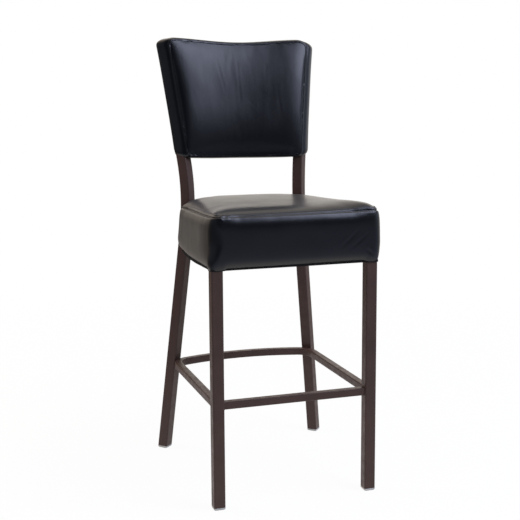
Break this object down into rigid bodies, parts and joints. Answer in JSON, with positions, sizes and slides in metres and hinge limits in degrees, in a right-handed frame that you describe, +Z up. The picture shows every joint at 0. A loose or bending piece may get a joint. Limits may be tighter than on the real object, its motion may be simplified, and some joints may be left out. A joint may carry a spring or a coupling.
{
  "type": "bar stool",
  "caption": "Bar stool with a thick vinyl seat, a padded wrapped back and a square-tube frame with a bent footrest hoop",
  "frame": {"origin": "on the floor, under the middle of the stool's bounding box", "axes": "+Z is up, +X is the right side in a front view, +Y runs from the stool's front to its back, so the front of the seat faces -Y"},
  "size_m": [0.5086, 0.576, 1.1871],
  "materials": {
    "powder_coat": "satin, fine texture, dark brown",
    "glide_plastic": "light grey, matt",
    "plywood": "unfinished plywood",
    "foam": "upholstery foam",
    "vinyl": "black vinyl with a fine grain and a soft sheen",
    "dust_cloth": "black non-woven cloth",
    "zinc_steel": "zinc-plated"
  },
  "bodies": {
    "root": {"front_leg_left": "powder_coat", "front_leg_right": "powder_coat", "rear_leg_left": "powder_coat", "rear_leg_right": "powder_coat", "footrest_front_bar": "powder_coat", "footrest_hoop": "powder_coat", "seat_rail_front": "powder_coat", "seat_rail_left": "powder_coat", "seat_rail_right": "powder_coat", "seat_rail_rear": "powder_coat", "back_rail_bottom": "powder_coat", "back_rail_top": "powder_coat", "seat_bracket_front_left": "powder_coat", "seat_bracket_front_right": "powder_coat", "seat_bracket_rear_left": "powder_coat", "seat_bracket_rear_right": "powder_coat", "glide_front_left": "glide_plastic", "glide_front_right": "glide_plastic", "glide_rear_left": "glide_plastic", "glide_rear_right": "glide_plastic", "seat_board": "plywood", "back_board": "plywood", "seat_foam": "foam", "back_foam": "foam", "seat_cover_top": "vinyl", "seat_cover_boxing": "vinyl", "back_cover_front": "vinyl", "back_cover_rear": "vinyl", "back_cover_boxing": "vinyl", "seat_dust_cover": "dust_cloth", "seat_bolt_front_left": "zinc_steel", "seat_bolt_front_right": "zinc_steel", "seat_bolt_rear_left": "zinc_steel", "seat_bolt_rear_right": "zinc_steel", "seat_tee_nut_front_left": "zinc_steel", "seat_tee_nut_front_right": "zinc_steel", "seat_tee_nut_rear_left": "zinc_steel", "seat_tee_nut_rear_right": "zinc_steel", "back_screw_bottom_left": "zinc_steel", "back_screw_bottom_right": "zinc_steel", "back_screw_top_left": "zinc_steel", "back_screw_top_right": "zinc_steel"}
  },
  "joints": []
}
